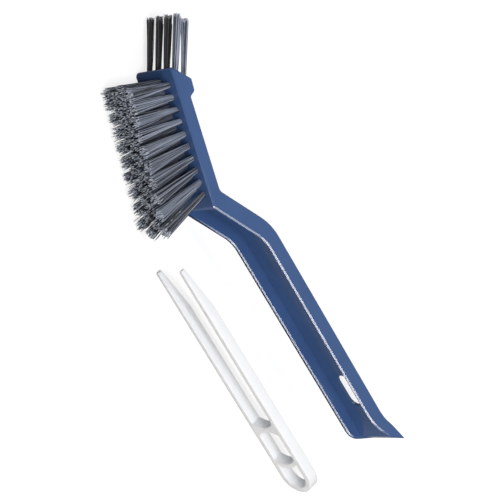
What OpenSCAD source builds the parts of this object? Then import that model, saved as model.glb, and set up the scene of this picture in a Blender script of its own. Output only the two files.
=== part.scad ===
// Crevice brush with tweezers that store in its handle.
// +X runs along the handle to the scraper, -Y is the bristle side, +Z is the width.
// The brush lies on its far side wall, and the origin is the middle of that wall at the
// bend between the handle and the neck.

/* [Handle] */
// Length of the handle from the neck bend to the scraper edge
handle_len = 120.5; // [118:0.5:130]
// Depth of the handle from its rim to its back
handle_depth = 7.5; // [7:0.1:10]
// Width of the brush at the tip of the head
head_width = 26.8; // [26.8:0.1:30]
// Width of the brush at the scraper edge
end_width = 22.8; // [22.8:0.1:25]
// Thickness of the channel's side walls
wall_t = 1.7; // [1.4:0.1:1.7]
// Thickness of the channel's floor
floor_t = 1.5; // [1.2:0.1:2]

/* [Neck] */
// Run of the neck along the handle
neck_run = 28.5; // [26:0.5:34]
// Distance that the neck drops toward the bristle side
neck_drop = 14.8; // [13:0.1:16]
// Depth of the neck from its rim to its back
neck_depth = 8.3; // [8:0.1:9]

/* [Head] */
// Length of the head from the neck to the ridge
head_len = 65; // [63:0.5:72]
// Tilt of the head against the handle, in degrees
head_tilt = 15.6; // [12:0.2:18]
// Thickness of the head behind the side tufts
head_t = 6.2; // [6:0.1:8]
// Thickness of the end block
block_t = 9.4; // [9:0.1:11]
// Length of the end block along the head
block_len = 14.2; // [13:0.1:18]
// Length along the head that the slanted end face takes up
slant_len = 8.6; // [8:0.1:9]
// Radius of the two tip corners
tip_round = 1.5; // [0.8:0.1:2]

/* [Hanging slot and scraper] */
// Width of the hanging slot
slot_w = 8.6; // [7:0.1:10]
// Length of the hanging slot
slot_len = 17.5; // [15:0.5:19]
// Distance from the neck bend to the middle of the slot
slot_x = 89; // [87:0.1:90]
// Length of the swept scraper part
scraper_len = 16; // [14:0.5:18]
// Height that the scraper edge sweeps back
scraper_rise = 3.4; // [2:0.1:5]

/* [Tufts] */
// Diameter of a tuft's hole
hole_d = 3; // [2.6:0.1:3.2]
// Depth of a side tuft's hole
hole_depth = 4.2; // [3.8:0.1:4.5]
// Depth of the two side holes nearest to the tip
short_depth = 1.3; // [1.2:0.1:1.4]
// Diameter of a tip tuft's hole
tip_hole_d = 2.8; // [2.6:0.1:2.9]
// Depth of a tip tuft's hole
tip_depth = 2; // [1.6:0.1:2.2]
// Pitch of the side tufts along the head
side_pitch = 5.6; // [5.4:0.1:5.8]
// Pitch of the tuft rows across the width
row_pitch = 5.3; // [5:0.1:5.6]
// Height of the side tufts at the end block
side_free = 22; // [20:0.5:26]
// How much taller the side tufts are at the neck
side_rise = 5.5; // [0:0.5:6]
// Lean of the side tufts toward the end block, in degrees
lean_front = 7; // [0:1:8]
// Lean of the side tufts toward the handle at the neck, in degrees
lean_back = 23; // [15:1:24]
// Lean of the tip tufts from the handle's axis, in degrees
tip_lean = 40.4; // [36:0.2:44]
// Free length of the tip tufts
tip_free = 24; // [18:0.5:28]
// Pitch of the tip tufts across the width
tip_pitch = 6.2; // [5.5:0.1:6.3]
// Distance between the two rows of tip tufts
tip_row_gap = 5.2; // [5:0.1:5.3]
// Half width of a strand
strand_r = 0.36; // [0.25:0.01:0.4]
// Radius of the ring of strands at the root
root_ring = 0.95; // [0.85:0.05:1]
// Radius of the ring of strands at the tip
tip_ring = 1.9; // [1.2:0.05:2]
// Strands around the middle one
ring_count = 7; // [6:1:7]
// Gap between a tuft's plug and its hole
plug_gap = 0.03; // [0.02:0.01:0.06]
// Thickness of an anchor plate
anchor_t = 0.5; // [0.3:0.1:0.6]

/* [Tweezers] */
// Outer width of the tweezers
tweezer_w = 19; // [18:0.1:19]
// Length of the tweezers
tweezer_len = 124; // [112:0.5:124]
// Depth of the tweezers' legs
leg_depth = 5.4; // [4:0.1:5.5]
// Depth of a leg at its tip
leg_tip_depth = 2.2; // [1.5:0.1:3]
// Length over which a leg's depth tapers to its tip
leg_taper = 22; // [18:1:30]
// Thickness of a leg at its root
leg_root_t = 2.4; // [2:0.1:2.6]
// Thickness of a leg at its tip
leg_tip_t = 2; // [1.5:0.1:2.2]
// Thickness of the hub's side walls
hub_wall = 2.6; // [2.4:0.1:3]
// Thickness of the bend
bend_t = 2.8; // [2.4:0.1:3.2]
// Length of the window
window_len = 18.5; // [15:0.5:20]
// Thickness of the two bridges at their middle
bridge_t = 2.4; // [2:0.1:3]
// Gap between a leg's root and its seat
leg_gap = 0.05; // [0.03:0.01:0.1]
// Distance that the tweezers are pulled out across the channel
pull_out = 42; // [40:0.5:60]
// Distance of the tweezers' rim in front of the channel's rim when stowed
stow_proud = 0.4; // [0.2:0.1:1]
// Distance that the window lies short of the slot when pulled out
pull_back = 5; // [3:0.5:6]

/* [Hidden] */
ROWS = 4;
PER_ROW = 10;
TIP_COLS = 4;
SEG = 6;
OVER = 1;
FIRST_S = 5.4;
TIP_SHIFT = 1.4;
TIP_LIFT = 0.6;
CROWN_R = 11;
CROTCH = 1.6;
BRIDGE_LOOP = 4.4;
NOSE = 7.5;
ROOT_PLAY = 0.6;

function side_name(r, i) = str("side_tuft_", chr(97 + r), "_", i + 1);
function tip_name(r, i) = str("tip_tuft_", chr(97 + r), "_", i + 1);
SIDE_TUFTS = [for (r = [0:ROWS - 1], i = [0:PER_ROW - 1]) [r, i]];
TIP_TUFTS = [for (r = [0:1], i = [0:TIP_COLS - 1]) [r, i]];

// Height of the handle's rim and back, so that the middle of its depth is at Y = 0
rim_y = -handle_depth / 2;
back_y = handle_depth / 2;

// Directions in the side view
function unit(a) = [cos(a), sin(a)];
head_dir = [cos(head_tilt), -sin(head_tilt)];
head_out = [-sin(head_tilt), -cos(head_tilt)];
neck_angle = atan2(neck_drop, neck_run);
neck_dir = unit(neck_angle);
neck_in = unit(neck_angle + 90);
corner = [-neck_run, rim_y - neck_drop];
ridge = corner - head_len * head_dir;
function on_head(s, t) = ridge + s * head_dir - t * head_out;
function meet(p, d, q, e) = p + d * (((q - p)[0] * e[1] - (q - p)[1] * e[0]) / (d[0] * e[1] - d[1] * e[0]));

// Width of the brush at X, which tapers evenly from the head to the scraper
taper = (head_width - end_width) / (handle_len - ridge[0]);
function width_at(x) = end_width + (handle_len - x) * taper;

// Points of a polygon whose corners [x, y, radius] are rounded by arcs
function corner_arc(a, b, c, r) =
    let (
        u = (a - b) / norm(a - b),
        v = (c - b) / norm(c - b),
        half = acos(max(-1, min(1, u * v))) / 2,
        cut = r / tan(half),
        mid = b + (u + v) / norm(u + v) * (r / sin(half)),
        from = b + u * cut - mid,
        to = b + v * cut - mid,
        a0 = atan2(from[1], from[0]),
        turn = atan2(from[0] * to[1] - from[1] * to[0], from * to)
    )
    [for (k = [0:SEG]) mid + r * unit(a0 + turn * k / SEG)];
function rounded(pts) = [
    for (i = [0:len(pts) - 1])
        let (
            n = len(pts),
            a = pts[(i + n - 1) % n],
            b = pts[i],
            c = pts[(i + 1) % n]
        )
        each b[2] > 0
            ? corner_arc([a[0], a[1]], [b[0], b[1]], [c[0], c[1]], b[2])
            : [[b[0], b[1]]]
];
function rnd(p, r) = [p[0], p[1], r];

// Side profile of the moulding
heel = on_head(block_len, block_t - 0.3);
notch = on_head(block_len + 1.6, head_t);
neck_back = corner + neck_in * neck_depth;
back_knee = meet(on_head(0, head_t), head_dir, neck_back, neck_dir);
back_bend = meet(neck_back, neck_dir, [0, back_y], [1, 0]);
sweep_x = handle_len - scraper_len;
edge_y = back_y + scraper_rise;
nose_x = handle_len - NOSE;
profile = rounded([
    rnd(ridge, 0.6),
    rnd(corner, 1.4),
    [0, rim_y, 20],
    [nose_x, rim_y, 9],
    [handle_len, edge_y, 0],
    [handle_len - 0.2, edge_y + 0.3, 0],
    [sweep_x, back_y, 30],
    rnd(back_bend, 28),
    rnd(back_knee, 4),
    rnd(notch, 1.2),
    rnd(heel, 1.2),
    rnd(on_head(slant_len, block_t), 1.6)
]);

// Side profile of the channel, from the lip at the neck to the scraper edge
floor_y = back_y - floor_t;
neck_floor = corner + neck_in * (neck_depth - floor_t);
lip = corner + 2 * neck_dir;
lip_floor = lip + neck_in * (neck_depth - floor_t);
floor_bend = meet(neck_floor, neck_dir, [0, floor_y], [1, 0]);
channel = rounded([
    rnd(lip - neck_in * 12, 0),
    rnd(lip_floor, 1),
    rnd(floor_bend, 26),
    [sweep_x, floor_y, 24],
    [handle_len, edge_y - 0.1, 0],
    [handle_len + 4, edge_y - 0.1, 0],
    [handle_len + 4, -12, 0]
]);

// The brush in plan, with its tip corners rounded
module plan(inset, extra, round_r) {
    tip_x = ridge[0] + (round_r > 0 ? 0.1 : -extra);
    rotate([90, 0, 0])
        translate([0, 0, -40])
            linear_extrude(80)
                polygon(rounded([
                    [tip_x, inset, round_r],
                    [handle_len + extra, inset, 0],
                    [handle_len + extra, width_at(handle_len + extra) - inset, 0],
                    [tip_x, width_at(tip_x) - inset, round_r]
                ]));
}

module obround(length, width, height) {
    run = (length - width) / 2;
    for (side = [-1, 1])
        translate([side * run, 0, 0])
            cylinder(h = height, r = width / 2, center = true, $fn = 48);
    cube([2 * run, width, height], center = true);
}

// Where each tuft stands, and how it leans in the side view
function row_z(r) = width_at(ridge[0] + head_len / 2) / 2 + (1.5 - r) * row_pitch;
function side_s(r, i) =
    r % 2 == 0 ? FIRST_S + side_pitch * (i + 0.5)
    : i == 0 ? FIRST_S + 0.6
    : FIRST_S + side_pitch * i;
function side_depth(r, i) = r % 2 == 1 && i == 0 ? short_depth : hole_depth;
function lean(s) = let (u = s / head_len) 6 * u - lean_front + (lean_back + lean_front - 6) * u * u;
function side_height(s) = side_free + side_rise * s / head_len;
function side_root(r, i) = let (p = on_head(side_s(r, i), 0)) [p[0], p[1], row_z(r)];
function side_angle(r, i) = -90 - head_tilt + lean(side_s(r, i));
face_dir = let (d = on_head(slant_len, block_t) - ridge) d / norm(d);
face_len = norm(on_head(slant_len, block_t) - ridge);
tip_angle = 180 - tip_lean;
function tip_s(r) = face_len / 2 + (r - 0.5) * tip_row_gap + TIP_SHIFT;
function tip_root(r, i) =
    let (p = ridge + tip_s(r) * face_dir)
    [p[0], p[1], width_at(p[0]) / 2 + TIP_LIFT + (i - (TIP_COLS - 1) / 2) * tip_pitch];

// Puts a child that points along +Z at a root point, leaning in the side view
module stand(root, angle) {
    translate(root)
        rotate([0, 0, angle])
            rotate([0, 90, 0])
                children();
}

module blind_hole(depth, d) {
    translate([0, 0, -depth])
        cylinder(h = depth + 3, d = d, $fn = 32);
}

module brush_body() {
    color("#3f5a92")
        difference() {
            intersection() {
                linear_extrude(head_width + 2) polygon(profile);
                plan(0, 2, tip_round);
            }
            intersection() {
                linear_extrude(head_width + 2) polygon(channel);
                plan(wall_t, 6, 0);
            }
            translate([slot_x, floor_y + floor_t / 2, width_at(slot_x) / 2])
                rotate([90, 0, 0])
                    obround(slot_len, slot_w, 3 * floor_t);
            for (t = SIDE_TUFTS)
                stand(side_root(t[0], t[1]), side_angle(t[0], t[1]))
                    blind_hole(side_depth(t[0], t[1]), hole_d);
            for (t = TIP_TUFTS)
                stand(tip_root(t[0], t[1]), tip_angle) blind_hole(tip_depth, tip_hole_d);
        }
}

// One bundle: a plug in its hole and strands that splay toward the trimmed tip
module tuft(free, depth, d) {
    plug_r = d / 2 - plug_gap;
    spread = atan((tip_ring - root_ring) / free);
    bottom = anchor_t + plug_gap - depth;
    translate([0, 0, bottom])
        cylinder(h = -bottom - 0.2, r = plug_r, $fn = 24);
    translate([0, 0, -0.6])
        cylinder(h = free + 0.6, r = strand_r, $fn = 3);
    for (k = [0:ring_count - 1])
        rotate([0, 0, k * 360 / ring_count])
            translate([root_ring, 0, -0.6])
                rotate([0, spread, 0])
                    cylinder(h = free / cos(spread) + 0.6, r = strand_r, $fn = 3);
}

module side_tuft(r, i) {
    shade = r == 0 ? "#9aa3b4" : "#5f6878";
    color(shade)
        stand(side_root(r, i), side_angle(r, i))
            tuft(side_height(side_s(r, i)) / cos(lean(side_s(r, i))), side_depth(r, i), hole_d);
}

module tip_tuft(r, i) {
    color("#7f8898")
        stand(tip_root(r, i), tip_angle)
            tuft(tip_free, tip_depth, tip_hole_d);
}

module anchor_plate(depth, d) {
    reach = d / 2 - 4 * plug_gap;
    translate([0, 0, -depth + anchor_t / 2])
        cube([reach, 2 * reach * 0.8, anchor_t], center = true);
}

module side_anchors() {
    color("#b8a878")
        for (t = SIDE_TUFTS)
            stand(side_root(t[0], t[1]), side_angle(t[0], t[1]))
                anchor_plate(side_depth(t[0], t[1]), hole_d);
}

module tip_anchors() {
    color("#b8a878")
        for (t = TIP_TUFTS)
            stand(tip_root(t[0], t[1]), tip_angle) anchor_plate(tip_depth, tip_hole_d);
}

// Tweezers, drawn in their own plane: U along the legs to the bend, V across.
// U = 0 is the middle of the window and V = 0 the middle of the width.
half_w = tweezer_w / 2;
bend_u = window_len / 2 + bridge_t + BRIDGE_LOOP;
root_u = -window_len / 2 - bridge_t - ROOT_PLAY;
tip_u = bend_u + half_w - tweezer_len;
leg_v = half_w - leg_root_t / 2;
tip_v = half_w - leg_tip_t / 2;
tweezer_y = rim_y - pull_out - stow_proud;
tweezer_x = slot_x - pull_back;

module in_tweezer_place() {
    translate([tweezer_x, tweezer_y + leg_depth, half_w])
        rotate([90, 0, 0])
            children();
}

module hub_outline() {
    translate([bend_u, 0]) circle(r = half_w, $fn = 96);
    translate([root_u + 0.4, -half_w]) square([bend_u - root_u - 0.4, tweezer_w]);
}

module hub_openings() {
    inner = half_w - hub_wall;
    crown = CROWN_R;
    // Window between the two bridges, with crowned ends
    intersection() {
        translate([-window_len / 2, -inner]) square([window_len, 2 * inner]);
        translate([crown - window_len / 2, 0]) circle(r = crown, $fn = 96);
        translate([window_len / 2 - crown, 0]) circle(r = crown, $fn = 96);
    }
    // Bend loop behind the second bridge
    difference() {
        union() {
            translate([bend_u, 0]) circle(r = half_w - bend_t, $fn = 96);
            translate([window_len / 2, bend_t - half_w])
                square([bend_u - window_len / 2, 2 * (half_w - bend_t)]);
        }
        translate([window_len / 2 + bridge_t - crown, 0]) circle(r = crown, $fn = 96);
    }
    // Crotch between the legs
    translate([root_u + bridge_t - crown - CROTCH, 0])
        intersection() {
            circle(r = crown, $fn = 96);
            translate([-crown, -inner]) square([2 * crown, 2 * inner]);
        }
}

module tweezer_hub() {
    seat = leg_root_t / 2 + leg_gap;
    color("#f4f5f8")
        in_tweezer_place()
            difference() {
                linear_extrude(leg_depth) {
                    difference() {
                        hub_outline();
                        hub_openings();
                    }
                }
                for (side = [-1, 1])
                    translate([root_u, side * leg_v, -OVER])
                        cylinder(h = leg_depth + 2 * OVER, r = seat, $fn = 48);
            }
}

module leg(side) {
    root_r = leg_root_t / 2;
    color("#f4f5f8")
        in_tweezer_place()
            intersection() {
                linear_extrude(leg_depth)
                    polygon([
                        for (k = [0:24])
                            [root_u + root_r * cos(90 - 7.5 * k), side * (leg_v + root_r * sin(90 - 7.5 * k))],
                        [tip_u + 0.6, side * (half_w - leg_tip_t)],
                        [tip_u, side * (tip_v + 0.1)],
                        [tip_u + 1, side * half_w]
                    ]);
                translate([0, half_w + OVER, 0])
                    rotate([90, 0, 0])
                        linear_extrude(tweezer_w + 2 * OVER)
                            polygon([
                                [root_u + leg_root_t, 0],
                                [root_u + leg_root_t, leg_depth],
                                [tip_u + 1, leg_depth],
                                [tip_u, leg_depth - 1],
                                [tip_u, leg_depth - leg_tip_depth + 0.4],
                                [tip_u + 0.6, leg_depth - leg_tip_depth],
                                [tip_u + leg_taper, 0]
                            ]);
            }
}

module tweezer_leg_lower() {
    leg(-1);
}

module tweezer_leg_upper() {
    leg(1);
}

brush_body();
side_anchors();
tip_anchors();
tweezer_hub();
tweezer_leg_lower();
tweezer_leg_upper();
for (t = SIDE_TUFTS) {
    side_tuft(t[0], t[1]);
}
for (t = TIP_TUFTS) {
    tip_tuft(t[0], t[1]);
}
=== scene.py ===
"""Looks of the crevice brush with tweezers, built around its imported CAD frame.

The moulding and the tweezers are softened copies of their CAD forms, and each tuft is a
bundle of separate filaments that stands where its CAD tuft stands. All sizes are in metres.
"""
import logging
import math
import random
from dataclasses import dataclass
from enum import Enum
from typing import Iterable

import bmesh
import bpy
import numpy as np
from mathutils import Matrix, Quaternion, Vector


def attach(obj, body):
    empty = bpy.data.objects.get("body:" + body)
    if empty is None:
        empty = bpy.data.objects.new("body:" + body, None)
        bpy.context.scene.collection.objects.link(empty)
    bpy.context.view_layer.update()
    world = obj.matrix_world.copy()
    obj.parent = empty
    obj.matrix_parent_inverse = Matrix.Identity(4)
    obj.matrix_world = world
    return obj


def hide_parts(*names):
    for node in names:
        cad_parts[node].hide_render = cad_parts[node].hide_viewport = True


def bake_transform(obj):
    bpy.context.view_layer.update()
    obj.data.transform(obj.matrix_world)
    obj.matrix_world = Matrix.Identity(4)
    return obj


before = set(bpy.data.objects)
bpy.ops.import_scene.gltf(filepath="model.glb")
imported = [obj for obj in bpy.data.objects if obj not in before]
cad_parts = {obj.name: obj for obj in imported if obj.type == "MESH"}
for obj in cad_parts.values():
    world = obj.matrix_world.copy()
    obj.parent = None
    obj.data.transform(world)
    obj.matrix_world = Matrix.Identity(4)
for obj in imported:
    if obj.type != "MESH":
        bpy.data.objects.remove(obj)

LOG = logging.getLogger("crevice_brush")
MM = 0.001
# Corners of a CAD mesh that lie closer than this are one corner
MERGE_GAP = 0.000002
# Two faces of a CAD mesh that meet at less than this, in degrees, are one plane
FLAT_ANGLE = 0.6
# A corner that lies closer than this to a cut lies on it
CUT_GAP = 1e-7


# Node helpers


def linear(hex_colour: str) -> tuple[float, float, float, float]:
    """Turns an sRGB hex colour into the linear values that a shader takes.

    Args:
        hex_colour: The colour as six hex digits.

    Returns:
        Linear red, green, blue and an alpha of 1.
    """
    out = []
    for k in (0, 2, 4):
        c = int(hex_colour[k : k + 2], 16) / 255
        out.append(c / 12.92 if c <= 0.04045 else ((c + 0.055) / 1.055) ** 2.4)
    return (out[0], out[1], out[2], 1.0)


def add(tree: bpy.types.NodeTree, kind: str, links: dict | None = None, **values: object) -> bpy.types.Node:
    """Adds one node to a tree.

    Args:
        tree: The node tree that gets the node.
        kind: The node's type without its ShaderNode prefix.
        links: For each input socket, by name or index, the output socket that feeds it.
        **values: Properties of the node.

    Returns:
        The new node.
    """
    made = tree.nodes.new("ShaderNode" + kind)
    for name, value in values.items():
        setattr(made, name, value)
    for socket, source in (links or {}).items():
        if isinstance(source, bpy.types.NodeSocket):
            tree.links.new(source, made.inputs[socket])
        else:
            made.inputs[socket].default_value = source
    return made


def object_noise(tree: bpy.types.NodeTree, scale: float, detail: float = 2.0) -> bpy.types.NodeSocket:
    """Adds a noise texture in object coordinates.

    Args:
        tree: The material's node tree.
        scale: Waves per metre.
        detail: Octaves of the noise.

    Returns:
        The noise's factor.
    """
    place = add(tree, "TexCoord").outputs["Object"]
    made = add(tree, "TexNoise", {"Vector": place, "Scale": scale, "Detail": detail})
    return made.outputs[0]


def ramp(
    tree: bpy.types.NodeTree, source: bpy.types.NodeSocket, stops: list[tuple[float, tuple]]
) -> bpy.types.NodeSocket:
    """Adds a colour ramp.

    Args:
        tree: The material's node tree.
        source: What drives the ramp.
        stops: Positions and linear colours.

    Returns:
        The ramp's colour.
    """
    made = add(tree, "ValToRGB", {"Fac": source})
    cells = made.color_ramp.elements
    while len(cells) < len(stops):
        cells.new(0.5)
    for cell, (position, colour) in zip(cells, stops):
        cell.position = position
        cell.color = colour
    return made.outputs["Color"]


def blank_material(name: str) -> bpy.types.Material:
    """Makes a material with an empty node tree.

    Args:
        name: Name of the material.

    Returns:
        The material.
    """
    made = bpy.data.materials.new(name)
    made.use_nodes = True
    made.node_tree.nodes.clear()
    return made


def spread(
    tree: bpy.types.NodeTree, source: bpy.types.NodeSocket, low: float, high: float
) -> bpy.types.NodeSocket:
    """Maps a value from 0-1 to a new range.

    Args:
        tree: The material's node tree.
        source: The value.
        low: What 0 becomes.
        high: What 1 becomes.

    Returns:
        The mapped value.
    """
    made = add(tree, "MapRange", {"Value": source})
    made.inputs["To Min"].default_value = low
    made.inputs["To Max"].default_value = high
    return made.outputs["Result"]


# Finishes


@dataclass(frozen=True)
class Moulded:
    """Injection-moulded polypropylene with a fine spark-eroded grain.

    Args:
        name: Name of the material.
        shade: sRGB colour where the melt flowed evenly.
        deep: sRGB colour of the faint darker flow.
        roughness: Lowest and highest roughness over the surface.
        grain: Height of the grain in metres.
        subsurface: Share of light that enters the plastic.
        ior: Refractive index, 1.49 for polypropylene.
        flow_waves: Waves per metre of the melt's flow.
        gloss_waves: Waves per metre of the change in gloss.
        grain_waves: Waves per metre of the grain.
        grain_strength: Strength of the grain.
        soak: How far red, green and blue light travels in the plastic, in metres.
    """

    name: str
    shade: str
    deep: str
    roughness: tuple[float, float]
    grain: float = 0.000005
    subsurface: float = 0.0
    ior: float = 1.49
    flow_waves: float = 38
    gloss_waves: float = 260
    grain_waves: float = 2600
    grain_strength: float = 0.1
    soak: tuple[float, float, float] = (0.0025, 0.0025, 0.003)

    def build(self) -> bpy.types.Material:
        """Makes the material.

        Returns:
            The material.
        """
        made = blank_material(self.name)
        tree = made.node_tree
        flow = object_noise(tree, self.flow_waves, 3)
        colour = ramp(tree, flow, [(0.35, linear(self.deep)), (0.65, linear(self.shade))])
        gloss = spread(tree, object_noise(tree, self.gloss_waves, 3), *self.roughness)
        bumps = object_noise(tree, self.grain_waves)
        relief = {"Height": bumps, "Strength": self.grain_strength, "Distance": self.grain}
        grain = add(tree, "Bump", relief)
        links = {"Base Color": colour, "Roughness": gloss, "Normal": grain.outputs[0], "IOR": self.ior}
        shader = add(tree, "BsdfPrincipled", links)
        if self.subsurface:
            shader.inputs["Subsurface Weight"].default_value = self.subsurface
            shader.inputs["Subsurface Radius"].default_value = self.soak
            shader.inputs["Subsurface Scale"].default_value = 1.0
        add(tree, "OutputMaterial", {"Surface": shader.outputs[0]})
        return made


@dataclass(frozen=True)
class Filament:
    """Drawn nylon filament. Its tone varies from strand to strand and its cut end is pale.

    Args:
        name: Name of the material.
        dark: sRGB colour of the darkest strands.
        light: sRGB colour of the lightest strands.
        end: sRGB colour of the cut ends.
        roughness: Lowest and highest roughness of the drawn skin.
        ior: Refractive index, 1.53 for nylon.
        skin_waves: Waves per metre of the change in gloss.
    """

    name: str
    dark: str
    light: str
    end: str
    roughness: tuple[float, float] = (0.32, 0.46)
    ior: float = 1.53
    skin_waves: float = 900

    def build(self) -> bpy.types.Material:
        """Makes the material.

        Returns:
            The material.
        """
        made = blank_material(self.name)
        tree = made.node_tree
        tone = add(tree, "Attribute", attribute_name="tone").outputs["Fac"]
        cut = add(tree, "Attribute", attribute_name="cut").outputs["Fac"]
        skin = ramp(tree, tone, [(0.0, linear(self.dark)), (1.0, linear(self.light))])
        mix = add(tree, "Mix", {0: cut, 6: skin, 7: linear(self.end)}, data_type="RGBA")
        gloss = spread(tree, object_noise(tree, self.skin_waves), *self.roughness)
        links = {"Base Color": mix.outputs[2], "Roughness": gloss, "IOR": self.ior}
        shader = add(tree, "BsdfPrincipled", links)
        add(tree, "OutputMaterial", {"Surface": shader.outputs[0]})
        return made


@dataclass(frozen=True)
class DrawnWire:
    """Flat drawn brass of the tuft anchors, with faint drawing lines.

    Args:
        name: Name of the material.
        shade: sRGB colour of the clean metal.
        tarnish: sRGB colour of the tarnished metal.
        ior: Refractive index that stands for brass.
        roughness: Lowest and highest roughness over the surface.
        stain_waves: Waves per metre of the tarnish.
        gloss_waves: Waves per metre of the change in gloss.
    """

    name: str
    shade: str
    tarnish: str
    ior: float = 1.18
    roughness: tuple[float, float] = (0.25, 0.42)
    stain_waves: float = 700
    gloss_waves: float = 2400

    def build(self) -> bpy.types.Material:
        """Makes the material.

        Returns:
            The material.
        """
        made = blank_material(self.name)
        tree = made.node_tree
        stain = object_noise(tree, self.stain_waves, 3)
        colour = ramp(tree, stain, [(0.3, linear(self.tarnish)), (0.7, linear(self.shade))])
        gloss = spread(tree, object_noise(tree, self.gloss_waves), *self.roughness)
        links = {"Base Color": colour, "Roughness": gloss, "Metallic": 1.0, "IOR": self.ior}
        shader = add(tree, "BsdfPrincipled", links)
        add(tree, "OutputMaterial", {"Surface": shader.outputs[0]})
        return made


# Gloss polypropylene of the moulding, a muted navy
BODY = Moulded("body_navy_polypropylene", "3A5584", "36507D", (0.15, 0.19))
# Satin polypropylene of the tweezers, a cool white that lets a little light in
WHITE = Moulded("tweezer_white_polypropylene", "E3E5E9", "E0E2E6", (0.38, 0.50), 0.000004, 0.1)
# Nylon of the row nearest to the light, slate grey with pale ends
SLATE = Filament("bristle_slate_nylon", "24262A", "A2ABBF", "CDD3DF")
# The same nylon in the rows behind, whose strands read darker: painted shade where the row in front shades
# them
NYLON_PAINTED_SHADE = Filament("bristle_nylon_painted_shade", "131416", "7E8595", "C8CFDA")
# The same nylon in the end block's columns that stand in the shade, painted near black as deep painted
# shade
NYLON_PAINTED_DEEP_SHADE = Filament("bristle_nylon_painted_deep_shade", "0D0D0F", "3D3E41", "8D9199")
# Brass of the plates that hold the tufts in their holes
ANCHOR = DrawnWire("anchor_drawn_brass", "C8B070", "8E7B4A")


# Mesh helpers


def join_flat(bm: bmesh.types.BMesh, angle: float) -> None:
    """Joins faces that lie in one plane.

    Args:
        bm: The mesh.
        angle: Angle between two faces, in degrees, below which they are one plane.
    """
    bmesh.ops.dissolve_limit(
        bm, angle_limit=math.radians(angle), verts=bm.verts, edges=bm.edges, use_dissolve_boundaries=False
    )


def cut_across(
    bm: bmesh.types.BMesh, place: tuple, way: tuple, drop_behind: bool = False, drop_ahead: bool = False
) -> None:
    """Cuts a whole mesh along a plane.

    Args:
        bm: The mesh.
        place: A point on the plane.
        way: Direction that the plane faces.
        drop_behind: Whether what lies behind the plane is taken away.
        drop_ahead: Whether what lies ahead of it is taken away.
    """
    bmesh.ops.bisect_plane(
        bm,
        geom=bm.verts[:] + bm.edges[:] + bm.faces[:],
        plane_co=place,
        plane_no=way,
        dist=CUT_GAP,
        clear_inner=drop_behind,
        clear_outer=drop_ahead,
    )


def soften(bm: bmesh.types.BMesh, edges: list, width: float, segments: int, clamp: bool) -> None:
    """Rounds or chamfers edges.

    Args:
        bm: The mesh.
        edges: The edges.
        width: Width of the new faces on each side of an edge.
        segments: Segments across them.
        clamp: Whether they stop where they would meet.
    """
    bmesh.ops.bevel(
        bm,
        geom=edges,
        offset=width,
        offset_type="OFFSET",
        segments=segments,
        profile=0.5,
        affect="EDGES",
        clamp_overlap=clamp,
        material=-1,
    )


def cad_copy(node: str) -> bmesh.types.BMesh:
    """Copies a CAD node's mesh, merged at its shared corners.

    Args:
        node: Name of the node.

    Returns:
        The copy, with flat regions joined into single faces.
    """
    bm = bmesh.new()
    bm.from_mesh(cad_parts[node].data)
    bmesh.ops.remove_doubles(bm, verts=bm.verts, dist=MERGE_GAP)
    join_flat(bm, FLAT_ANGLE)
    return bm


def sharp_groups(bm: bmesh.types.BMesh, angle: float) -> list[list[bmesh.types.BMEdge]]:
    """Groups the sharp edges that touch each other.

    Args:
        bm: The mesh.
        angle: Angle between two faces, in degrees, above which their edge is sharp.

    Returns:
        One list of edges for each connected group.
    """
    limit = math.radians(angle)
    sharp = dict.fromkeys(e for e in bm.edges if e.is_manifold and e.calc_face_angle(0) > limit)
    groups = []
    while sharp:
        todo = [sharp.popitem()[0]]
        group = []
        while todo:
            edge = todo.pop()
            group.append(edge)
            for vert in edge.verts:
                for other in vert.link_edges:
                    if other in sharp:
                        del sharp[other]
                        todo.append(other)
        groups.append(group)
    return groups


def reach(edges: Iterable[bmesh.types.BMEdge]) -> float:
    """Measures how far a group of edges reaches.

    Args:
        edges: The edges.

    Returns:
        The longest side of their box.
    """
    points = [v.co for e in edges for v in e.verts]
    return max(max(p[k] for p in points) - min(p[k] for p in points) for k in range(3))


def finish_piece(
    bm: bmesh.types.BMesh, name: str, material: bpy.types.Material, crisp: float
) -> bpy.types.Object:
    """Turns a mesh into a shown object at the origin.

    Args:
        bm: The mesh, which is freed.
        name: Name of the object.
        material: Its material.
        crisp: Angle in degrees above which an edge stays crisp.

    Returns:
        The object.
    """
    bmesh.ops.recalc_face_normals(bm, faces=bm.faces)
    for face in bm.faces:
        face.smooth = True
    for edge in bm.edges:
        edge.smooth = edge.calc_face_angle(0) < math.radians(crisp)
    mesh = bpy.data.meshes.new(name)
    bm.to_mesh(mesh)
    bm.free()
    made = bpy.data.objects.new(name, mesh)
    bpy.context.scene.collection.objects.link(made)
    made.data.materials.append(material)
    LOG.info("%s: %d faces", name, len(mesh.polygons))
    return made


# The body


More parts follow.
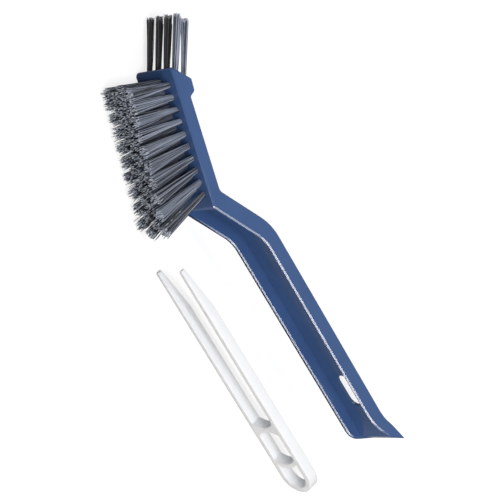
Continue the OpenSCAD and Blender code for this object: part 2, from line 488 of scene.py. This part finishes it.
@dataclass
class BrushBody:
    """The blue moulding: head, end block, neck, channel handle, slot and scraper.

    Args:
        round_edge: Width of the moulded edges' small chamfer.
        segments: Segments across it.
        hole_reach: Sharp edges that reach less than this belong to tuft holes.
        blade_x: Beyond this X the scraper's edge stays thin.
        sweep_x: Beyond this X the line along the back stays as it is.
        back_y: Edges that lie beyond this Y belong to the back.
        slot: X range of the hanging slot, whose edges stay crisp.
        nose_x: Edges beyond this X belong to the end block.
        nose_top: Its edges below this Z keep the rounded corner's form.
        nose_end: Corners beyond this X are drawn in by the rounded corner.
        nose_r: Radius of the end block's lower corner.
        nose_cuts: Heights of the cuts that carry its curve, as shares of the radius.
        nose_way: X and Y of the direction from the end block toward the neck.
        ramp_cuts: X of the cuts that carry the ramp, in millimetres.
        ramp_span: X range of the ramp, in millimetres.
        inside: Z range of the channel's floor, in millimetres.
        upper_z: The upper wall's rim lies above this Z, in millimetres.
        near: How close to a line its corners lie, in millimetres.
        sharp: Angle in degrees above which an edge of the CAD form is sharp.
        crisp: Angle in degrees above which an edge of the moulding stays crisp.
        floor_sweep: The channel's floor toward the blade: Y of its level stretch, X where
            its arc begins, the arc's radius and how far it turns, in degrees.
        rim_sweep: The same for the side walls' rim.
        ramp_line: X and Y that the floor gets, rising into the scraper's ramp, in millimetres.
        rim_drop: X and how far the upper wall's rim falls away there, in millimetres.
    """

    round_edge: float = 0.66 * MM
    segments: int = 1
    hole_reach: float = 4.5 * MM
    blade_x: float = 118.5 * MM
    sweep_x: float = 108 * MM
    back_y: float = 3.9 * MM
    slot: tuple[float, float] = (79 * MM, 99 * MM)
    nose_x: float = -87 * MM
    nose_top: float = 2.3 * MM
    nose_end: float = -89.2 * MM
    nose_r: float = 2.2 * MM
    nose_cuts: tuple[float, ...] = (0.08, 0.25, 0.55, 1.0)
    nose_way: tuple[float, float] = (0.963, -0.269)
    ramp_cuts: tuple[float, ...] = (99, 101, 103, 104.9, 106.5, 111, 112.4, 113.7, 115.2)
    ramp_span: tuple[float, float] = (98, 120.45)
    inside: tuple[float, float] = (1.6, 21.8)
    upper_z: float = 20.9
    near: float = 0.05
    sharp: float = 28
    crisp: float = 30
    floor_sweep: tuple[float, float, float, float] = (2.25, 101, 23.9, 16.69)
    rim_sweep: tuple[float, float, float, float] = (-3.75, 108.27, 9, 55.45)
    ramp_line: tuple = (
        (98, 2.25), (100, 2.2), (103, 2.0), (108, 1.65), (112, 1.45), (115.2, 1.5), (120.41, 7.02),
    )
    rim_drop: tuple = (
        (98, 0), (100, 0.15), (103.2, 0.52), (106, 1.15), (108.3, 1.95), (109.7, 2.4),
        (111.1, 2.75), (112.5, 2.9), (113.7, 2.75), (114.8, 2.4), (115.7, 1.9), (120.5, 0),
    )

    def swept(self, x: float, level: float, start: float, radius: float, angle: float) -> float:
        """Follows a line that runs level, turns through an arc and goes on straight.

        Args:
            x: Where along the handle, in millimetres.
            level: Y of the level stretch.
            start: X where the arc begins.
            radius: Radius of the arc.
            angle: How far it turns, in degrees.

        Returns:
            Y of the line there, in millimetres.
        """
        turn = math.radians(angle)
        end = start + radius * math.sin(turn)
        if x <= start:
            return level
        if x <= end:
            return level + radius - math.sqrt(radius**2 - (x - start) ** 2)
        return level + radius * (1 - math.cos(turn)) + (x - end) * math.tan(turn)

    def wants(self, edge: bmesh.types.BMEdge) -> bool:
        """Tells whether an edge is chamfered. The blade and the rounded nose stay as they are.

        Args:
            edge: A sharp edge.

        Returns:
            True for an edge that gets a chamfer.
        """
        far = [max(v.co[k] for v in edge.verts) for k in range(3)]
        back = min(v.co.y for v in edge.verts) > self.back_y
        nose = far[0] < self.nose_x and far[2] < self.nose_top
        return not nose and far[0] < (self.sweep_x if back else self.blade_x)

    def soften_nose(self, bm: bmesh.types.BMesh) -> None:
        """Rounds the end block's lower corner, in the plane of the bristle face.

        Args:
            bm: The moulding.
        """
        r = self.nose_r
        for share in self.nose_cuts:
            cut_across(bm, (0, 0, r * share), (0, 0, 1))
        for vert in bm.verts:
            if vert.co.x < self.nose_end and vert.co.z < r:
                back = r - math.sqrt(max(0.0, r * r - (r - vert.co.z) ** 2))
                vert.co.x += self.nose_way[0] * back
                vert.co.y += self.nose_way[1] * back

    def scrape(self, bm: bmesh.types.BMesh) -> None:
        """Raises the channel's floor into a ramp behind the blade and lets the upper rim fall away.

        Args:
            bm: The moulding.
        """
        for x in self.ramp_cuts:
            cut_across(bm, (x * MM, 0, 0), (1, 0, 0))
        for vert in bm.verts:
            x, y, z = vert.co / MM
            if not self.ramp_span[0] < x < self.ramp_span[1]:
                continue
            on_floor = abs(y - self.swept(x, *self.floor_sweep)) < self.near
            on_rim = abs(y - self.swept(x, *self.rim_sweep)) < self.near
            if on_floor and self.inside[0] < z < self.inside[1]:
                vert.co.y = np.interp(x, *zip(*self.ramp_line)) * MM
            elif z > self.upper_z and on_rim:
                vert.co.y += np.interp(x, *zip(*self.rim_drop)) * MM

    def build(self, material: bpy.types.Material) -> bpy.types.Object:
        """Makes the moulding.

        Args:
            material: Its material.

        Returns:
            The object, which rides on the brush.
        """
        bm = cad_copy("brush_body")
        self.soften_nose(bm)
        self.scrape(bm)
        edges = [
            edge
            for group in sharp_groups(bm, self.sharp)
            if reach(group) > self.hole_reach
            and not all(self.slot[0] < v.co.x < self.slot[1] for e in group for v in e.verts)
            for edge in group
            if edge.is_convex and self.wants(edge)
        ]
        soften(bm, edges, self.round_edge, self.segments, clamp=False)
        # The moulding lies on its flat side, so no corner of a chamfer reaches below it
        for vert in bm.verts:
            vert.co.z = max(vert.co.z, 0.0)
        made = finish_piece(bm, "brush_moulding", material, self.crisp)
        made.modifiers.new("even_normals", "WEIGHTED_NORMAL").keep_sharp = True
        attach(made, "brush")
        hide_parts("brush_body")
        return made


# The tufts


class Field(Enum):
    """The two fields of bristles."""

    SIDE = "side_tuft"
    TIP = "tip_tuft"


@dataclass
class Bundle:
    """One tuft: filaments that leave their hole side by side and splay toward the trimmed tip.

    Args:
        node: The CAD tuft that it stands for.
        field: Which field it belongs to.
        count: Number of filaments.
        radius: Radius of a filament.
        packed: Radius of the bundle where it leaves its hole.
        splay: Radius of the bundle at its tip.
        flare: How late the bundle opens. At 1 it would open evenly.
        lean: How far the whole tuft leans by chance.
        stray: How far a filament's tip strays by chance.
        bow: How far a filament bows by chance.
        jitter: How far a filament's place turns by chance, in radians.
        spin: Up to how far a filament turns about itself by chance, in radians.
        ragged: How unevenly the tips are cut.
        trim: Range of the cut, as shares of ragged.
        dyed: Share of dark strands.
        dark_tones: Range of the dark strands' tone.
        light_tones: Range of the other strands' tone.
        longer: How much the filaments pass the end of their CAD strands.
        ground: Lowest Z of a filament, which lies on the floor there.
        root_band: Depth of the slice of the CAD tuft that gives its root.
        tip_band: Depth of the slice that gives its tip.
        rings: Where along a filament its rings of vertices lie.
        pale_from: Where along a filament its pale end begins.
        sides: Sides of a filament.
        crisp: Angle in degrees above which an edge stays crisp.
        seed: Seed of the bundle's chance.
    """

    node: str
    field: Field
    count: int = 64
    radius: float = 0.15 * MM
    packed: float = 1.2 * MM
    splay: float = 2.65 * MM
    flare: float = 1.15
    lean: float = 0.25 * MM
    stray: float = 0.5 * MM
    bow: float = 0.15 * MM
    jitter: float = 0.12
    spin: float = 6.28
    ragged: float = 1.5 * MM
    trim: tuple[float, float] = (-1, 0.15)
    dyed: float = 0.36
    dark_tones: tuple[float, float] = (0, 0.2)
    light_tones: tuple[float, float] = (0.5, 1)
    longer: float = 0.0
    ground: float = 0.02 * MM
    root_band: float = 0.05 * MM
    tip_band: float = 1.2 * MM
    rings: tuple[float, ...] = (0, 0.3, 0.58, 0.84, 0.966, 0.974, 1)
    pale_from: float = 0.97
    sides: int = 5
    crisp: float = 60
    seed: int = 0

    def axis(self) -> tuple[Vector, Vector]:
        """Finds where the CAD tuft stands.

        Returns:
            The middle of its plug's top, and the middle of its tip.
        """
        co = np.array([v.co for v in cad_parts[self.node].data.vertices], float)
        middle = co.mean(axis=0)
        along = np.linalg.svd(co - middle, full_matrices=False)[2][0]
        t = (co - middle) @ along
        outward = -along[1] if self.field is Field.SIDE else -along[0]
        if outward < 0:
            along, t = -along, -t
        low = co[t < t.min() + self.root_band].mean(axis=0)
        high = co[t > t.max() - self.tip_band].mean(axis=0)
        return Vector(low), Vector(high)

    def template(self) -> bpy.types.Mesh:
        """Makes one straight filament of unit length along Z.

        Returns:
            Its mesh, ring after ring, with a closed end.
        """
        bm = bmesh.new()
        made = bmesh.ops.create_circle(bm, cap_ends=False, radius=self.radius, segments=self.sides)
        ring = made["verts"]
        edges = list(dict.fromkeys(e for v in ring for e in v.link_edges))
        for below, above in zip(self.rings, self.rings[1:]):
            out = bmesh.ops.extrude_edge_only(bm, edges=edges)["geom"]
            verts = [g for g in out if isinstance(g, bmesh.types.BMVert)]
            bmesh.ops.translate(bm, verts=verts, vec=(0, 0, above - below))
            edges = [g for g in out if isinstance(g, bmesh.types.BMEdge)]
        bmesh.ops.contextual_create(bm, geom=edges)
        bmesh.ops.recalc_face_normals(bm, faces=bm.faces)
        mesh = bpy.data.meshes.new("filament_template")
        bm.to_mesh(mesh)
        bm.free()
        return mesh

    def build(self, template: bpy.types.Mesh, material: bpy.types.Material, slot: str) -> bpy.types.Object:
        """Makes the bundle.

        Args:
            template: One straight filament of unit length.
            material: The nylon.
            slot: Name of a material slot. It is not used.

        Returns:
            The object, which rides on the brush.
        """
        rng = random.Random(self.seed)
        low, high = self.axis()
        along = (high - low).normalized()
        across = along.cross(Vector((0, 0, 1))).normalized()
        over = along.cross(across)
        length = (high - low).length + self.longer
        bm = bmesh.new()
        tone_layer = bm.verts.layers.float.new("tone")
        cut_layer = bm.verts.layers.float.new("cut")
        golden = math.pi * (3 - math.sqrt(5))
        lean = Vector((rng.gauss(0, self.lean), rng.gauss(0, self.lean)))
        for k in range(self.count):
            share = math.sqrt((k + 0.5) / self.count)
            angle = k * golden + rng.uniform(-self.jitter, self.jitter)
            way = Vector((math.cos(angle), math.sin(angle)))
            root = way * share * (self.packed - self.radius)
            wild = Vector((rng.gauss(0, self.stray), rng.gauss(0, self.stray)))
            tip = way * share * self.splay + (lean + wild)
            bow = Vector((rng.gauss(0, self.bow), rng.gauss(0, self.bow)))
            reach_out = length + rng.uniform(*self.trim) * self.ragged
            tones = self.dark_tones if rng.random() < self.dyed else self.light_tones
            tone = rng.uniform(*tones)
            pale = rng.uniform(0, 1)
            start = len(bm.verts)
            bm.from_mesh(template)
            bm.verts.ensure_lookup_table()
            turn = Matrix.Rotation(rng.uniform(0, self.spin), 2)
            for index in range(start, len(bm.verts)):
                vert = bm.verts[index]
                u = vert.co.z
                flat = turn @ Vector((vert.co.x, vert.co.y))
                centre = root.lerp(tip, u**self.flare) + bow * math.sin(math.pi * u)
                x, y = centre + flat
                vert.co = low + along * (u * reach_out) + across * x + over * y
                vert.co.z = max(vert.co.z, self.ground)
                vert[tone_layer] = tone
                vert[cut_layer] = pale if u > self.pale_from else 0.0
        made = finish_piece(bm, self.node + "_filaments", material, self.crisp)
        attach(made, "brush")
        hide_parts(self.node)
        return made


@dataclass
class Bristles:
    """All the tufts of the brush.

    Args:
        rows: Letters of the side rows, the first nearest to the light.
        per_row: Tufts in a side row.
        tip_rows: Letters of the tip rows.
        per_tip_row: Tufts in a tip row.
        tip_splay: Radius of a tip bundle at its end.
        tip_stray: How far its filaments stray.
        tip_longer: How much they pass the end of their CAD strands.
    """

    rows: str = "abcd"
    per_row: int = 10
    tip_rows: str = "ab"
    per_tip_row: int = 4
    tip_splay: float = 1.65 * MM
    tip_stray: float = 0.12 * MM
    tip_longer: float = 1.7 * MM

    def build(
        self, lit: bpy.types.Material, dark: bpy.types.Material, black: bpy.types.Material
    ) -> list[bpy.types.Object]:
        """Makes every tuft.

        Args:
            lit: Nylon of the row nearest to the light.
            dark: Nylon of the other rows, darkened by painted shade.
            black: Nylon of the end block's other columns, painted near black as deep painted shade.

        Returns:
            The tufts.
        """
        plans = []
        for row in self.rows:
            for k in range(self.per_row):
                # Row a takes the lit nylon, the rows behind the copy with painted shade
                plans.append((Field.SIDE, f"{row}_{k + 1}", lit if row == "a" else dark, "side_bristle"))
        for row in self.tip_rows:
            for k in range(self.per_tip_row):
                # The last column takes the lit nylon, the others the near-black copy with painted shade
                nylon = lit if k == self.per_tip_row - 1 else black
                plans.append((Field.TIP, f"{row}_{k + 1}", nylon, "tip_bristle"))
        made = []
        template = Bundle("", Field.SIDE).template()
        for seed, (kind, place, material, slot) in enumerate(plans):
            bundle = Bundle(f"{kind.value}_{place}", kind, seed=seed)
            if kind is Field.TIP:
                bundle.splay, bundle.stray, bundle.longer = self.tip_splay, self.tip_stray, self.tip_longer
            made.append(bundle.build(template, material, slot))
        bpy.data.meshes.remove(template)
        LOG.info("%d tufts", len(made))
        return made


# The anchors


@dataclass
class Anchors:
    """The plates across the tufts' roots. They show their CAD solids as they are.

    Args:
        nodes: The CAD nodes that hold them.
    """

    nodes: tuple[str, ...] = ("side_anchors", "tip_anchors")

    def build(self, material: bpy.types.Material) -> None:
        """Dresses the plates.

        Args:
            material: The drawn brass.
        """
        for node in self.nodes:
            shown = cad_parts[node]
            shown.data.materials.clear()
            shown.data.materials.append(material)
            LOG.info("%s: %d faces", node, len(shown.data.polygons))


# The tweezers


@dataclass
class Tweezers:
    """The white tweezers in one moulding: two legs, a window, two bridges and a bend.

    U runs along the legs to the bend from the middle of the window, and V across them.

    Args:
        x: Where U = 0 lies.
        front: Y of the front face.
        depth: Depth of the hub and of the legs' roots.
        half: Half the width.
        bend_u: Centre of the bend.
        root_u: Where the hinges lie and the legs start to flex.
        tip_u: End of the legs.
        window: Half the window's length.
        crown: Radius of the bridges' curved sides.
        bridge: Thickness of a bridge at its middle.
        fork: How far the fork between the legs reaches past their roots toward the window.
        wall: Thickness of the hub's sides.
        bend_t: Thickness of the bend.
        tip_t: Thickness of a leg at its tip.
        taper: Length over which a leg's depth tapers.
        tip_depth: Depth of a leg at its tip.
        round_edge: Radius of the moulded edges.
        split: Distance from the hinge to the cut between hub and leg.
        flex: Distance from the hinge over which a leg bends.
        flex_rings: Number of rings of vertices cut along that distance; the legs are left unbent.
        round_segments: Segments across a rounded edge.
        sharp: Angle in degrees above which an edge is sharp.
        bend_steps: Steps round the outside of the bend.
        loop_steps: Steps round its inside.
        bridge_steps: Steps along one side of a bridge.
        tip_step: Degrees between two corners of a leg's round tip.
        weld: Corners of the outline that lie closer than this are one corner.
        flat: Angle in degrees below which two faces are one plane.
    """

    x: float = 84 * MM
    front: float = -46.15 * MM
    depth: float = 5.4 * MM
    half: float = 9.5 * MM
    bend_u: float = 16.05 * MM
    root_u: float = -12.25 * MM
    tip_u: float = -98.45 * MM
    window: float = 9.25 * MM
    crown: float = 11 * MM
    bridge: float = 2.4 * MM
    fork: float = 0.8 * MM
    wall: float = 2.6 * MM
    bend_t: float = 2.8 * MM
    tip_t: float = 2.0 * MM
    taper: float = 22 * MM
    tip_depth: float = 2.2 * MM
    round_edge: float = 0.3 * MM
    split: float = 3.85 * MM
    flex: float = 14 * MM
    flex_rings: int = 11
    round_segments: int = 3
    sharp: float = 40
    bend_steps: int = 36
    loop_steps: int = 28
    bridge_steps: int = 14
    tip_step: int = 30
    weld: float = 0.005 * MM
    flat: float = 0.5

    def arc(self, cu: float, r: float, a0: float, a1: float, n: int) -> list[tuple[float, float]]:
        """Points on an arc about a centre on the middle line.

        Args:
            cu: U of the centre.
            r: Radius.
            a0: First angle in degrees.
            a1: Last angle in degrees.
            n: Number of steps.

        Returns:
            The points.
        """
        angles = [math.radians(a0 + (a1 - a0) * k / n) for k in range(n + 1)]
        return [(cu + r * math.cos(a), r * math.sin(a)) for a in angles]

    def round_tip(self, r: float) -> list[tuple[float, float]]:
        """Points round a leg's tip about its own centre, from its inner face to its outer.

        Args:
            r: Radius of the tip.

        Returns:
            The points.
        """
        angles = [math.radians(a) for a in range(270, 89, -self.tip_step)]
        return [(r * math.cos(a), r * math.sin(a)) for a in angles]

    def outlines(self) -> list[list[tuple[float, float]]]:
        """The outline and the outlines of the two openings.

        Returns:
            Three closed loops of U, V points.
        """
        inner = self.half - self.wall
        fork_u = self.root_u + self.fork - self.crown
        side = math.degrees(math.asin(inner / self.crown))
        tip_r = self.tip_t / 2
        nose = [(self.tip_u + tip_r + u, self.half - tip_r + v) for u, v in self.round_tip(tip_r)]
        outer = nose + self.arc(self.bend_u, self.half, 90, -90, self.bend_steps)
        outer += [(u, -v) for u, v in reversed(nose)]
        outer += self.arc(fork_u, self.crown, -side, side, self.bridge_steps)
        far_side = self.crown - self.window
        window = self.arc(far_side, self.crown, 180 - side, 180 + side, self.bridge_steps)
        window += self.arc(-far_side, self.crown, -side, side, self.bridge_steps)
        loop_r = self.half - self.bend_t
        bridge_u = self.window + self.bridge - self.crown
        loop_side = math.degrees(math.asin(loop_r / self.crown))
        loop = self.arc(bridge_u, self.crown, -loop_side, loop_side, self.bridge_steps)
        loop += self.arc(self.bend_u, loop_r, 90, -90, self.loop_steps)
        return [outer, window, loop]

    def whole(self) -> bmesh.types.BMesh:
        """Makes the tweezers in one piece.

        Returns:
            The mesh, where the tweezers lie at rest.
        """
        bm = bmesh.new()
        for loop in self.outlines():
            verts = [bm.verts.new((u, 0, v)) for u, v in loop]
            for a, b in zip(verts, verts[1:] + verts[:1]):
                bm.edges.new((a, b))
        bmesh.ops.remove_doubles(bm, verts=bm.verts, dist=self.weld)
        bmesh.ops.triangle_fill(
            bm, use_beauty=True, use_dissolve=False, edges=bm.edges, normal=(0, -1, 0)
        )
        out = bmesh.ops.extrude_face_region(bm, geom=bm.faces[:])["geom"]
        back = [g for g in out if isinstance(g, bmesh.types.BMVert)]
        bmesh.ops.translate(bm, verts=back, vec=(0, self.depth, 0))
        bmesh.ops.recalc_face_normals(bm, faces=bm.faces)
        start = self.tip_u + self.taper
        cut_across(bm, (start, 0, 0), (1, 0, 0))
        for vert in bm.verts:
            if vert.co.y > self.depth / 2 and vert.co.x < start:
                share = (start - vert.co.x) / self.taper
                vert.co.y = self.depth - share * (self.depth - self.tip_depth)
        join_flat(bm, self.flat)
        limit = math.radians(self.sharp)
        edges = [e for e in bm.edges if e.is_manifold and e.calc_face_angle(0) > limit]
        soften(bm, edges, self.round_edge, self.round_segments, clamp=True)
        bmesh.ops.translate(bm, verts=bm.verts, vec=(self.x, self.front, self.half))
        return bm

    def part(self, name: str, side: int, material: bpy.types.Material) -> bpy.types.Object:
        """Cuts one moving part out of the whole.

        Args:
            name: Name of the object.
            side: 1 for the upper leg, -1 for the lower, 0 for the hub.
            material: The plastic.

        Returns:
            The object.
        """
        bm = self.whole()
        cut = self.x + self.root_u
        leg = side != 0
        if leg:
            for k in range(1, self.flex_rings + 1):
                cut_across(bm, (cut - self.flex * k / self.flex_rings, 0, 0), (1, 0, 0))
        cut_across(bm, (cut - self.split, 0, 0), (1, 0, 0), drop_behind=not leg, drop_ahead=leg)
        if leg:
            away = [v for v in bm.verts if (v.co.z - self.half) * side < 0]
            bmesh.ops.delete(bm, geom=away, context="VERTS")
        return finish_piece(bm, name, material, self.sharp)

    def build(self, material: bpy.types.Material) -> list[bpy.types.Object]:
        """Makes the hub and the two legs.

        Args:
            material: The plastic.

        Returns:
            The three objects.
        """
        hub = self.part("tweezer_hub_moulding", 0, material)
        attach(hub, "tweezers")
        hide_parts("tweezer_hub")
        made = [hub]
        for side, body in ((-1, "lower_leg"), (1, "upper_leg")):
            leg = self.part(f"tweezer_{body}_moulding", side, material)
            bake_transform(leg)
            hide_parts(f"tweezer_leg_{'lower' if side < 0 else 'upper'}")
            made.append(leg)
        return made


# The studio


@dataclass
class Studio:
    """Camera, lamps, sky and floor.

    Args:
        azimuth: Direction in which the camera looks, clockwise from +Y, in degrees.
        elevation: Height of the camera above the horizon, in degrees.
        roll: Turn of the camera about its own line of sight, in degrees.
        distance: Distance from the camera to its aim.
        aim: Point that the line of sight passes through.
        lens: Focal length in millimetres on a 36 mm sensor.
        shift: Shift of the frame.
        sky: Strength of the sky on its dim and on its bright side.
        sky_way: Direction of its bright side.
        sky_hue: sRGB colour of its light.
        lamp_aim: Point that every lamp faces.
        floor_size: Half the side of the floor.
        floor_drop: How far the floor lies below the brush, so that the two don't flicker.
        paper: sRGB colours of the floor.
        paper_glow: Light that the floor gives off toward the camera alone.
    """

    azimuth: float = 32.66
    elevation: float = 52.21
    roll: float = 85.77
    distance: float = 1.2
    aim: tuple[float, float, float] = (0, -3.75 * MM, 0)
    lens: float = 191.79
    shift: tuple[float, float] = (0.03718, -0.01396)
    sky: tuple[float, float] = (0.06, 0.54)
    sky_way: tuple[float, float, float] = (0.0, 0.4, 0.9)
    sky_hue: str = "FBF9F5"
    lamp_aim: tuple[float, float, float] = (0.02, -0.01, 0.01)
    floor_size: float = 3.0
    floor_drop: float = 0.05 * MM
    paper: tuple[str, str] = ("989898", "9C9C9C")
    paper_glow: float = 0.74

    def camera(self) -> bpy.types.Object:
        """Makes the camera that stands where the photograph's stood.

        Returns:
            The camera.
        """
        az, el, roll = (math.radians(a) for a in (self.azimuth, self.elevation, self.roll))
        sight = Vector((math.sin(az) * math.cos(el), math.cos(az) * math.cos(el), -math.sin(el)))
        right = sight.cross(Vector((0, 0, 1))).normalized()
        up = right.cross(sight)
        x_axis = right * math.cos(roll) + up * math.sin(roll)
        y_axis = up * math.cos(roll) - right * math.sin(roll)
        data = bpy.data.cameras.new("camera")
        data.lens = self.lens
        data.sensor_width = 36
        data.shift_x, data.shift_y = self.shift
        data.clip_end = 20
        made = bpy.data.objects.new("camera", data)
        turn = Matrix((x_axis, y_axis, -sight)).transposed().to_4x4()
        made.matrix_world = Matrix.Translation(Vector(self.aim) - sight * self.distance) @ turn
        bpy.context.scene.collection.objects.link(made)
        bpy.context.scene.camera = made
        return made

    def lamp(
        self, name: str, toward: tuple, far: float, size: tuple, watts: float, hue: str, roll: float = 0
    ) -> bpy.types.Object:
        """Hangs one softbox that faces the object.

        Args:
            name: Name of the lamp.
            toward: Direction from the object to the lamp.
            far: Distance from the object.
            size: Width and height of the softbox.
            watts: Power.
            hue: sRGB colour of its light.
            roll: Turn about its own axis in degrees.

        Returns:
            The lamp.
        """
        data = bpy.data.lights.new(name, "AREA")
        data.energy = watts
        data.shape = "RECTANGLE"
        data.size, data.size_y = size
        data.color = linear(hue)[:3]
        made = bpy.data.objects.new(name, data)
        place = Vector(toward).normalized()
        made.rotation_mode = "QUATERNION"
        spin = Quaternion((0, 0, 1), math.radians(roll))
        made.rotation_quaternion = place.to_track_quat("Z", "Y") @ spin
        made.location = place * far + Vector(self.lamp_aim)
        bpy.context.scene.collection.objects.link(made)
        return made

    def world(self) -> None:
        """Makes a pale sky, brighter overhead and behind, that the camera sees as white."""
        sky = bpy.data.worlds.new("sky")
        bpy.context.scene.world = sky
        sky.use_nodes = True
        tree = sky.node_tree
        tree.nodes.clear()
        path = add(tree, "LightPath").outputs["Is Camera Ray"]
        way = add(tree, "TexCoord").outputs["Generated"]
        facing = add(tree, "VectorMath", {0: way, 1: self.sky_way}, operation="DOT_PRODUCT")
        level = spread(tree, facing.outputs["Value"], *self.sky)
        soft = add(tree, "Background", {"Color": linear(self.sky_hue), "Strength": level})
        plain = add(tree, "Background", {"Color": (1, 1, 1, 1), "Strength": 1.0})
        mix = add(tree, "MixShader", {0: path, 1: soft.outputs[0], 2: plain.outputs[0]})
        add(tree, "OutputWorld", {"Surface": mix.outputs[0]})

    def floor(self) -> bpy.types.Object:
        """Lays the white floor that the brush lies on.

        Returns:
            The floor.
        """
        bm = bmesh.new()
        bmesh.ops.create_grid(bm, x_segments=1, y_segments=1, size=self.floor_size)
        bmesh.ops.translate(bm, verts=bm.verts, vec=(0, 0, -self.floor_drop))
        mesh = bpy.data.meshes.new("floor")
        bm.to_mesh(mesh)
        bm.free()
        made = bpy.data.objects.new("floor", mesh)
        bpy.context.scene.collection.objects.link(made)
        # Matt paper, which its glow makes white to the camera
        paper = blank_material("white_paper")
        tree = paper.node_tree
        dark, light = (linear(shade) for shade in self.paper)
        tone = ramp(tree, object_noise(tree, 30), [(0.3, dark), (0.7, light)])
        shader = add(tree, "BsdfPrincipled", {"Base Color": tone, "Roughness": 0.9, "IOR": 1.45})
        shader.inputs["Specular IOR Level"].default_value = 0.1
        shader.inputs["Emission Color"].default_value = (1, 1, 1, 1)
        path = add(tree, "LightPath").outputs["Is Camera Ray"]
        seen = add(tree, "Math", {0: path, 1: self.paper_glow}, operation="MULTIPLY")
        tree.links.new(seen.outputs[0], shader.inputs["Emission Strength"])
        add(tree, "OutputMaterial", {"Surface": shader.outputs[0]})
        mesh.materials.append(paper)
        return made

    def build(self) -> None:
        """Sets up the whole studio."""
        self.camera()
        self.world()
        self.floor()
        # A large soft lamp above, a little toward the bristles
        self.lamp("key", (-0.1, -0.32, 0.94), 1.3, (0.4, 0.4), 9.8, "F9FBFF")
        # A wide fill from behind the head
        self.lamp("fill", (-0.62, 0.65, 0.43), 1.8, (1.0, 0.8), 7, "FFFDFA")
        # Three strips that the chamfers of the handle, the scraper and the neck reflect
        self.lamp("rim", (0.25, -0.8, 0.54), 1.5, (0.9, 0.09), 8, "FFF8EE")
        self.lamp("scraper_edge", (0.62, -0.66, 0.43), 1.5, (0.5, 0.08), 4.2, "FFF8EE", -19)
        self.lamp("neck_edge", (0.83, -0.46, 0.31), 1.5, (0.4, 0.16), 2.0, "FFF8EE")
        bpy.context.scene.view_settings.view_transform = "Standard"


def main() -> None:
    """Dresses the frame."""
    logging.basicConfig(level=logging.INFO, format="%(name)s: %(message)s")
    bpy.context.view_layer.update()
    Studio().build()
    BrushBody().build(BODY.build())
    Bristles().build(SLATE.build(), NYLON_PAINTED_SHADE.build(), NYLON_PAINTED_DEEP_SHADE.build())
    Tweezers().build(WHITE.build())
    Anchors().build(ANCHOR.build())


if __name__ == "__main__":
    main()
